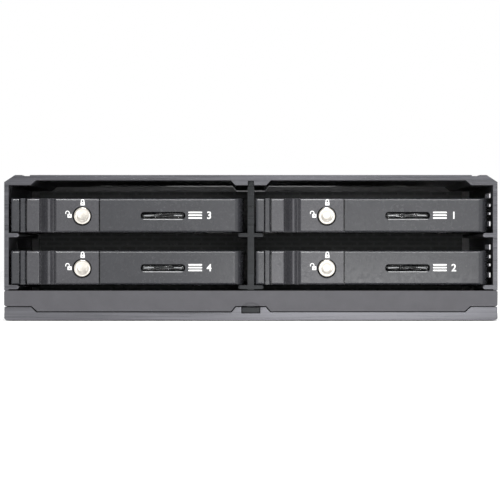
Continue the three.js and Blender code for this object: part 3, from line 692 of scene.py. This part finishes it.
def build_light_pipe(tray):
    """Clear pipe from the board to the slot, and at each end of its face a pale matt pad, shaped as an LED
    window, that is a painted highlight standing in for a glint.
    """
    origin = tray_origin(tray)
    middle = tray_size(tray)[2] / 2
    rear = (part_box(f"light_pipe_{tray}")[1].y - origin.y) / MM
    back = BEZEL_DEPTH + 0.2
    half = PIPE_WIDTH / 2
    dome = [(1.3, slot_outline(middle, -0.5)), (1.45, slot_outline(middle, -0.25))]
    dome += [(1.8, slot_outline(middle, -0.12)), (back + 1, slot_outline(middle, -0.12))]
    pipe = loft_y(f"led_light_pipe_{tray}", dome, origin)
    corner = (PIPE_X + half, back + 1.2, middle + 0.8)
    bridge = block("bridge", (SLOT_START + 2, back, middle - 0.8), corner, origin)
    riser = block("riser", (PIPE_X - half, back, 0.6), corner, origin)
    run = block("run", (PIPE_X - half, back, 0.6), (PIPE_X + half, rear, 1.5), origin)
    carve(pipe, "UNION", bridge, riser, run)
    soften(pipe, 0.1)
    finish_piece(pipe, f"tray_{tray}", CLEAR, "clear", f"light_pipe_{tray}")
    # painted highlight: a pale pad near each end of the slot stands in for a glint, tapering towards the
    # slot's middle
    left = ("left", SLOT_START + 3.9, SLOT_START + 0.9)
    right = ("right", SLOT_END - 3.4, SLOT_END - 1.0)
    for side, tip, end in (left, right):
        glint_outline = [(tip, middle + 0.12), (end, middle + 0.1), (end, middle - 0.28), (tip, middle - 0.1)]
        glint_piece = prism(f"glint_pad_{side}_{tray}", glint_outline, 1.22, 1.34, "Y", origin)
        soften(glint_piece, 0.04, 2)
        finish_piece(glint_piece, f"tray_{tray}", PAINTED_GLINT, "clear")


def build_ground_spring(tray):
    """Bowed steel strip under the tray front that touches the rack's earth."""
    origin = tray_origin(tray)
    outline = [(1.6, 0.05), (2.2, -0.1), (3.4, -0.34), (4.6, -0.1), (5.2, 0.05)]
    outline += [(4.6, -0.02), (3.4, -0.26), (2.2, -0.02)]
    spring = prism(f"ground_spring_{tray}", outline, 54.2, 56.6, "X", origin)
    soften(spring, 0.03, 1)
    finish_piece(spring, f"tray_{tray}", STEEL, "steel")


def padlock(name, corner, body_size, shackle_x, radius, leg, line, origin):
    """A small padlock sign: a body with a keyhole, and a shackle on it or swung out to its left."""
    x, z = corner
    width, height = body_size
    top = z + height
    sign = prism(name, rounded((x, z), (x + width, top), 0.12, 3), -PRINT_THICK, 0, "Y", origin)
    keyhole = rod_outline(x + width / 2, z + height / 2, 0.2, 12)
    carve(sign, "DIFFERENCE", prism("keyhole", keyhole, -1, 1, "Y", origin))
    crown = (shackle_x, top + leg)
    foot = top - 0.02
    outline = [(shackle_x + radius, foot)] + arc(crown, radius, 0, 180, 12)
    outline += [(shackle_x - radius, foot), (shackle_x - radius + line, foot)]
    outline += arc(crown, radius - line, 180, 0, 12) + [(shackle_x + radius - line, foot)]
    carve(sign, "UNION", prism("shackle", outline, -PRINT_THICK, 0, "Y", origin))
    return sign


def build_signs(tray):
    """The lock signs on the lever and the tray's number on its front."""
    origin = tray_origin(tray)
    lock_z = tray_size(tray)[2] / 2 - LOCK_DROP
    face = origin + Vector((0, -0.01 * MM, 0))
    closed_x = LOCK_X - 0.5
    closed_corner = (closed_x, lock_z + 3.1)
    shackle_x = closed_x + 0.63
    closed = padlock(f"sign_locked_{tray}", closed_corner, (1.26, 0.92), shackle_x, 0.53, 0.4, 0.29, face)
    open_x = LOCK_X - 4.35
    open_corner = (open_x, lock_z - 0.52)
    opened = padlock(f"sign_open_{tray}", open_corner, (1.22, 1.1), open_x, 0.64, 0.32, 0.24, face)
    for sign in (closed, opened):
        finish_piece(sign, f"lever_{tray}", INK, "lever")
    build_number(tray, face)


def build_number(tray, face):
    """Three bars and the tray's number, printed beside the LED slot."""
    z0 = tray_size(tray)[2] / 2 - LABEL_HEIGHT / 2
    bar_length = 4.1
    bar = 0.44
    pitch = (LABEL_HEIGHT - bar) / 2
    for row in range(3):
        z = z0 + row * pitch
        outline = rounded((LABEL_START, z), (LABEL_START + bar_length, z + bar), bar / 2 - 0.01, 4)
        strip = prism(f"sign_disc_{tray}_{row}", outline, -PRINT_THICK, 0, "Y", face)
        finish_piece(strip, f"tray_{tray}", INK, "tray")
    curve = bpy.data.curves.new(f"number_{tray}", "FONT")
    curve.body = str(tray)
    curve.size = LABEL_HEIGHT * MM / DIGIT_SHARE
    curve.extrude = PRINT_THICK * MM / 2
    curve.offset = 0.04 * MM
    number = bpy.data.objects.new(f"tray_number_{tray}", curve)
    bpy.context.scene.collection.objects.link(number)
    number.rotation_euler = Euler((math.pi / 2, 0, 0))
    number.location = face + MM * Vector((NUMBER_START, -PRINT_THICK / 2, z0))
    bpy.context.view_layer.update()
    mesh = bpy.data.meshes.new_from_object(number.evaluated_get(bpy.context.evaluated_depsgraph_get()))
    mesh.transform(number.matrix_world)
    solid = bpy.data.objects.new(f"tray_number_{tray}", mesh)
    bpy.data.objects.remove(number)
    bpy.context.scene.collection.objects.link(solid)
    finish_piece(solid, f"tray_{tray}", INK, "tray")


def build_trays():
    """Every piece that a tray carries."""
    for tray in TRAYS:
        build_bezel(tray)
        build_lever(tray)
        build_lock(tray)
        build_signs(tray)
        soften_node(f"caddy_{tray}", 0.15)
        paint_node(f"caddy_{tray}", BLACK)
        build_light_pipe(tray)
        build_ground_spring(tray)
        soften_node(f"hinge_pin_{tray}", 0.06)
        paint_node(f"hinge_pin_{tray}", SCREW_STEEL)


# ---------------------------------------------------------------- casing


def build_casing():
    """The extrusions, the fascia and the rear panel, which are CAD nodes with rounded edges."""
    for node, material in (("upper_shell", SHELL), ("base_plate", BASE), ("centre_divider", DIVIDER)):
        soften_node(node, 0.12)
        paint_node(node, material)
    soften_node("front_fascia", 0.15, 3)
    paint_node("front_fascia", FASCIA)
    soften_node("rear_panel", 0.15)
    paint_node("rear_panel", PANEL)


# ---------------------------------------------------------------- electronics


def contact_row(name, low, high, count):
    """A row of thin contact strips between two corners, in metres, spread along X."""
    bm = bmesh.new()
    pitch = (high.x - low.x) / count
    for index in range(count):
        x0 = low.x + pitch * (index + 0.22)
        x1 = low.x + pitch * (index + 0.78)
        corners = bmesh.ops.create_cube(bm, size=1)["verts"]
        for vert in corners:
            vert.co.x = x0 if vert.co.x < 0 else x1
            vert.co.y = low.y if vert.co.y < 0 else high.y
            vert.co.z = low.z if vert.co.z < 0 else high.z
    row = piece_from(name, bm)
    soften(row, 0.05, 1)
    return finish_piece(row, "chassis", GOLD, "steel")


def build_sockets():
    """The sockets that the drives plug into, with their two rows of contacts."""
    for tray in TRAYS:
        node = f"drive_socket_{tray}"
        soften_node(node, 0.2)
        paint_node(node, BLACK)
        low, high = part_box(node)
        centre = (low + high) / 2
        z0 = centre.z - 0.62 * MM
        z1 = centre.z - 0.42 * MM
        y0 = low.y + 0.6 * MM
        y1 = high.y - 1.2 * MM
        power_low = Vector((centre.x - 16.6 * MM, y0, z0))
        power_high = Vector((centre.x + 4.1 * MM, y1, z1))
        contact_row(f"power_contacts_{tray}", power_low, power_high, POWER_CONTACTS)
        data_low = Vector((centre.x + 6.9 * MM, y0, z0))
        data_high = Vector((centre.x + 16.6 * MM, y1, z1))
        contact_row(f"data_contacts_{tray}", data_low, data_high, DATA_CONTACTS)


def build_ports():
    """The data and power ports on the back of the board, with their contacts."""
    ports = [(f"data_port_{tray}", DATA_CONTACTS) for tray in TRAYS]
    ports += [(f"power_port_{side}", POWER_CONTACTS) for side in SIDES]
    for node, count in ports:
        soften_node(node, 0.2)
        paint_node(node, BLACK)
        low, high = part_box(node)
        middle = (low.z + high.z) / 2
        corner = Vector((low.x + 2.3 * MM, low.y + 2.5 * MM, middle + 0.6 * MM))
        far = Vector((high.x - 2.3 * MM, high.y - 1.3 * MM, middle + 0.72 * MM))
        contact_row(f"{node}_contacts", corner, far, count)


def build_board_parts():
    """Small parts on the back of the board: capacitors, controller chips and scattered resistors."""
    board_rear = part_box("backplane_board")[1].y
    back = Vector((0, board_rear, 0))
    shuffle = random.Random(5)
    for index, (x, z) in enumerate(((-34, 34), (34, 34), (-34, 13), (34, 13))):
        can = [(0, 0), (3.1, 0), (3.15, 0.4), (3.0, 0.7), (3.15, 1.0), (3.15, 5.2), (2.9, 5.5), (0, 5.5)]
        piece = turned(f"capacitor_{index}", can, back + MM * Vector((x, 0.02, z)), sides=32)
        soften(piece, 0.12, 2)
        finish_piece(piece, "chassis", STEEL, "steel")
    for index, (x, z) in enumerate(((-46, 24), (46, 24))):
        chip = block(f"chip_{index}", (x - 4, 0.15, z - 4), (x + 4, 1.4, z + 4), back)
        soften(chip, 0.25, 2)
        finish_piece(chip, "chassis", BLACK, "black_plastic")
    bm = bmesh.new()
    for _ in range(46):
        side = shuffle.choice((-1, 1))
        x = side * shuffle.uniform(29.5, 64)
        z = shuffle.choice((9.2, 11.0, 21.8, 23.4, 37.2, 38.4))
        upright = shuffle.random() < 0.5
        half = Vector((0.5, 0, 0.9)) if upright else Vector((0.9, 0, 0.5))
        for vert in bmesh.ops.create_cube(bm, size=1)["verts"]:
            vert.co.x = MM * (x + math.copysign(half.x, vert.co.x))
            vert.co.y = board_rear + MM * (0.02 if vert.co.y < 0 else 0.62)
            vert.co.z = MM * (z + math.copysign(half.z, vert.co.z))
    resistors = piece_from("resistors", bm)
    soften(resistors, 0.08, 1)
    finish_piece(resistors, "chassis", SCREW_STEEL, "black_plastic")


def build_electronics():
    soften_node("backplane_board", 0.1, 1)
    paint_node("backplane_board", BOARD)
    build_sockets()
    build_ports()
    build_board_parts()


# ---------------------------------------------------------------- fans and screws


def fan_centre(side):
    low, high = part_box(f"fan_frame_{side}")
    return (low + high) / 2


def build_fan_frame(side):
    """Square frame with a waist on each side, a bore, screw holes, four struts and the motor's cup."""
    low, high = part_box(f"fan_frame_{side}")
    centre = fan_centre(side)
    origin = Vector((centre.x, low.y, centre.z))
    depth = (high.y - low.y) / MM
    half = (high.x - low.x) / MM / 2
    square = rounded((-half, -half), (half, half), 2.5, 6)
    body = prism(f"fan_casing_{side}", square, 0, depth, "Y", origin)
    flange = 2.2
    waist_half = 11
    inner = half - 0.55
    outer = half + 1
    for dx, dz in ((-1, 0), (1, 0), (0, -1), (0, 1)):
        x0, x1 = sorted((dx * inner, dx * outer)) if dx else (-waist_half, waist_half)
        z0, z1 = sorted((dz * inner, dz * outer)) if dz else (-waist_half, waist_half)
        carve(body, "DIFFERENCE", block("waist", (x0, flange, z0), (x1, depth - flange, z1), origin))
    bore = rod_outline(0, 0, FAN_BORE_RADIUS, 72)
    carve(body, "DIFFERENCE", prism("bore", bore, -1, depth + 1, "Y", origin))
    pitch = FAN_HOLE_PITCH / 2
    for x in (-pitch, pitch):
        for z in (-pitch, pitch):
            hole = rod_outline(x, z, FAN_HOLE_RADIUS, 24)
            carve(body, "DIFFERENCE", prism("hole", hole, -1, depth + 1, "Y", origin))
            seat = rod_outline(x, z, FAN_SEAT_RADIUS, 32)
            carve(body, "DIFFERENCE", prism("seat", seat, depth - FAN_SEAT_DEPTH, depth + 1, "Y", origin))
    top = depth - 0.06
    cup_floor = depth - 1.5
    cup_profile = [(0, top), (HUB_RADIUS - 0.6, top), (HUB_RADIUS, top - 0.5), (HUB_RADIUS, cup_floor)]
    cup = turned("cup", cup_profile + [(0, cup_floor)], origin, sides=64)
    carve(body, "UNION", cup)
    strut_root = HUB_RADIUS - 1
    strut_tip = FAN_BORE_RADIUS + 0.4
    strut_half = 0.9
    for turn in range(4):
        angle = math.radians(45 + 90 * turn)
        along = Vector((math.cos(angle), math.sin(angle)))
        across = Vector((-along.y, along.x))
        corners = []
        for distance, side_step in ((strut_root, -1), (strut_tip, -1), (strut_tip, 1), (strut_root, 1)):
            corners.append(tuple(along * distance + across * strut_half * side_step))
        carve(body, "UNION", prism("strut", corners, cup_floor, depth - 0.02, "Y", origin))
    soften(body, 0.25, 2)
    finish_piece(body, "chassis", FAN_PLASTIC, "black_plastic", f"fan_frame_{side}")
    build_fan_label(side, Vector((centre.x, high.y, centre.z)))


def build_fan_label(side, centre):
    """The round plate on the motor's cup."""
    radius = 9.6
    thick = 0.05
    profile = [(0, -thick), (radius, -thick), (radius, 0), (0, 0)]
    label = turned(f"fan_label_{side}", profile, centre, sides=64)
    finish_piece(label, "chassis", PANEL, "steel")


def build_fan_rotor(side):
    """Hub and curved, twisted blades."""
    low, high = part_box(f"fan_rotor_{side}")
    centre = fan_centre(side)
    origin = Vector((centre.x, low.y, centre.z))
    depth = (high.y - low.y) / MM
    round_edge = 0.8
    profile = [(0, 0), (HUB_RADIUS - round_edge, 0)]
    profile += arc((HUB_RADIUS - round_edge, round_edge), round_edge, -90, 0, 6)[1:]
    profile += [(HUB_RADIUS, depth), (0, depth)]
    hub = turned(f"fan_wheel_{side}", profile, origin, sides=64)
    tip = FAN_BORE_RADIUS - 0.9
    blades = 7
    for blade in range(blades):
        carve(hub, "UNION", fan_blade(360 * blade / blades, HUB_RADIUS - 0.6, tip, depth, origin))
    soften(hub, 0.12, 2, 50)
    finish_piece(hub, f"fan_rotor_{side}", FAN_PLASTIC, "black_plastic", f"fan_rotor_{side}")


def fan_blade(start, root, tip, depth, origin):
    """One blade, swept and twisted, as a closed thin solid."""
    bm = bmesh.new()
    radial_steps = 6
    chord_steps = 8
    thick = 0.42
    margin = 0.5
    surfaces = []
    for side in (-1, 1):
        grid = []
        for i in range(radial_steps + 1):
            share = i / radial_steps
            radius = root + (tip - root) * share
            sweep = 18 * share * share
            row = []
            for j in range(chord_steps + 1):
                chord = j / chord_steps
                width = 40 - 6 * share
                angle = math.radians(start + sweep + width * (chord - 0.5))
                camber = 0.6 * math.sin(math.pi * chord)
                y = margin + (depth - 2 * margin) * (1 - chord) + side * thick / 2 - camber
                y = min(max(y, 0.1), depth - 0.1)
                point = Vector((radius * math.cos(angle), y, radius * math.sin(angle)))
                row.append(bm.verts.new(origin + MM * point))
            grid.append(row)
        surfaces.append(grid)
    for grid in surfaces:
        for i in range(radial_steps):
            for j in range(chord_steps):
                bm.faces.new((grid[i][j], grid[i + 1][j], grid[i + 1][j + 1], grid[i][j + 1]))
    under, over = surfaces
    for i in range(radial_steps):
        for j in (0, chord_steps):
            bm.faces.new((under[i][j], under[i + 1][j], over[i + 1][j], over[i][j]))
    for j in range(chord_steps):
        for i in (0, radial_steps):
            bm.faces.new((under[i][j], under[i][j + 1], over[i][j + 1], over[i][j]))
    return piece_from("blade", bm)


def cross_recess(screw, centre, axis, half):
    """Cuts a cross of a half width into the head of a screw."""
    line = 0.2
    deep = 0.55
    for long_x in (True, False):
        a = half if long_x else line
        b = line if long_x else half
        if axis == "Y":
            low, high = (-a, -deep, -b), (a, 1, b)
        else:
            low, high = (-a, -b, -1), (a, b, deep)
        carve(screw, "DIFFERENCE", block("cross", low, high, centre))


def build_rear_screws():
    """Round-headed screws that face the rear, four in the panel and four in the fans."""
    for kind, shank, head in (("rear_screw", 0.75, 1.08), ("fan_screw", 1.2, 1.66)):
        for index in range(1, 5):
            node = f"{kind}_{index}"
            low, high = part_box(node)
            centre = Vector(((low.x + high.x) / 2, high.y, (low.z + high.z) / 2))
            length = (high.y - low.y) / MM
            radius = (high.x - low.x) / MM / 2
            profile = [(0, -length), (shank - 0.15, -length), (shank, -length + 0.3), (shank, -head)]
            profile += [(radius, -head), (radius, -0.75)]
            profile += arc((radius - 0.75, -0.75), 0.75, 0, 90, 8)[1:]
            profile += [(0, 0)]
            screw = turned(f"{kind}_part_{index}", profile, centre, sides=40)
            cross_recess(screw, centre, "Y", shank * 1.25)
            soften(screw, 0.06, 2, 40)
            finish_piece(screw, "chassis", SCREW_STEEL, "steel", node)


def build_base_screws():
    """Flat-headed screws in the underside."""
    for index in range(1, 5):
        node = f"base_screw_{index}"
        low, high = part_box(node)
        centre = Vector(((low.x + high.x) / 2, (low.y + high.y) / 2, low.z))
        length = (high.z - low.z) / MM
        radius = (high.x - low.x) / MM / 2
        profile = [(0, 0), (radius - 0.12, 0), (radius, 0.12), (radius, 0.3), (0.75, 1.0)]
        profile += [(0.75, length - 0.3), (0.5, length), (0, length)]
        screw = turned(f"floor_screw_{index}", profile, centre, "Z", 40)
        cross_recess(screw, centre, "Z", 0.95)
        soften(screw, 0.05, 2, 40)
        finish_piece(screw, "chassis", SCREW_STEEL, "steel", node)


def build_fans():
    for side in SIDES:
        build_fan_frame(side)
        build_fan_rotor(side)


# ---------------------------------------------------------------- stage


def build_floor():
    """Plain pale floor, a little below the rack so that their faces don't touch."""
    bm = bmesh.new()
    reach = 3.0
    corners = ((-reach, -reach), (reach, -reach), (reach, reach), (-reach, reach))
    bm.faces.new([bm.verts.new((x, y, 0)) for x, y in corners])
    floor = piece_from("floor", bm)
    floor.location.z = -0.0002
    graph = Graph("pale floor", (0.95, 0.95, 0.95), 0.7)
    graph.color(graph.shades(graph.noise(3), (0.94, 0.94, 0.94), (0.96, 0.96, 0.96)))
    floor.data.materials.append(graph.material)


def area_light(name, place, target, size, power):
    """A rectangular lamp of a width and height in metres that shines at a target."""
    light = bpy.data.lights.new(name, "AREA")
    light.shape = "RECTANGLE"
    light.size, light.size_y = size
    light.energy = power
    lamp = bpy.data.objects.new(name, light)
    bpy.context.scene.collection.objects.link(lamp)
    lamp.location = place
    direction = Vector(target) - Vector(place)
    lamp.rotation_euler = direction.to_track_quat("-Z", "Y").to_euler()
    return lamp


def build_lights():
    """White surroundings, a key light overhead, two low glows on the front and roof, and a front fill."""
    front = cad_box[0].y
    glow_y = front - 0.2
    world = bpy.data.worlds.new("studio")
    bpy.context.scene.world = world
    world.use_nodes = True
    world.node_tree.nodes["Background"].inputs["Color"].default_value = (1, 1, 1, 1)
    world.node_tree.nodes["Background"].inputs["Strength"].default_value = 1.0
    area_light("overhead key", (0, -0.11, 0.65), (0, -0.05, 0.02), (0.3, 0.12), 5)
    area_light("front glow", (0.037, glow_y, 0.0035), (0.037, front, 0.0035), (0.09, 0.005), 0.055)
    area_light("roof glow", (0.035, glow_y, 0.047), (0.035, front, 0.047), (0.15, 0.004), 0.022)
    fill = area_light("front fill", (0.03, -0.9, 0.03), (0, front, 0.022), (0.12, 0.05), 1.3)
    fill.visible_glossy = False


def build_camera():
    """Level view from straight ahead, in which the rack fills nearly the whole width."""
    distance = 1.25
    visible_width = 0.1479
    data = bpy.data.cameras.new("camera")
    data.sensor_width = 36
    data.lens = data.sensor_width * distance / visible_width
    data.clip_start = 0.01
    camera = bpy.data.objects.new("camera", data)
    bpy.context.scene.collection.objects.link(camera)
    camera.location = (-0.00025, cad_box[0].y - distance, 0.0208)
    camera.rotation_euler = Euler((math.pi / 2, 0, 0))
    bpy.context.scene.camera = camera


def colour_space():
    """Shows colours as they are, with no film curve."""
    bpy.context.scene.view_settings.view_transform = "Standard"


build_camera()
build_lights()
build_floor()
colour_space()
build_casing()
build_trays()
build_electronics()
build_fans()
build_rear_screws()
build_base_screws()
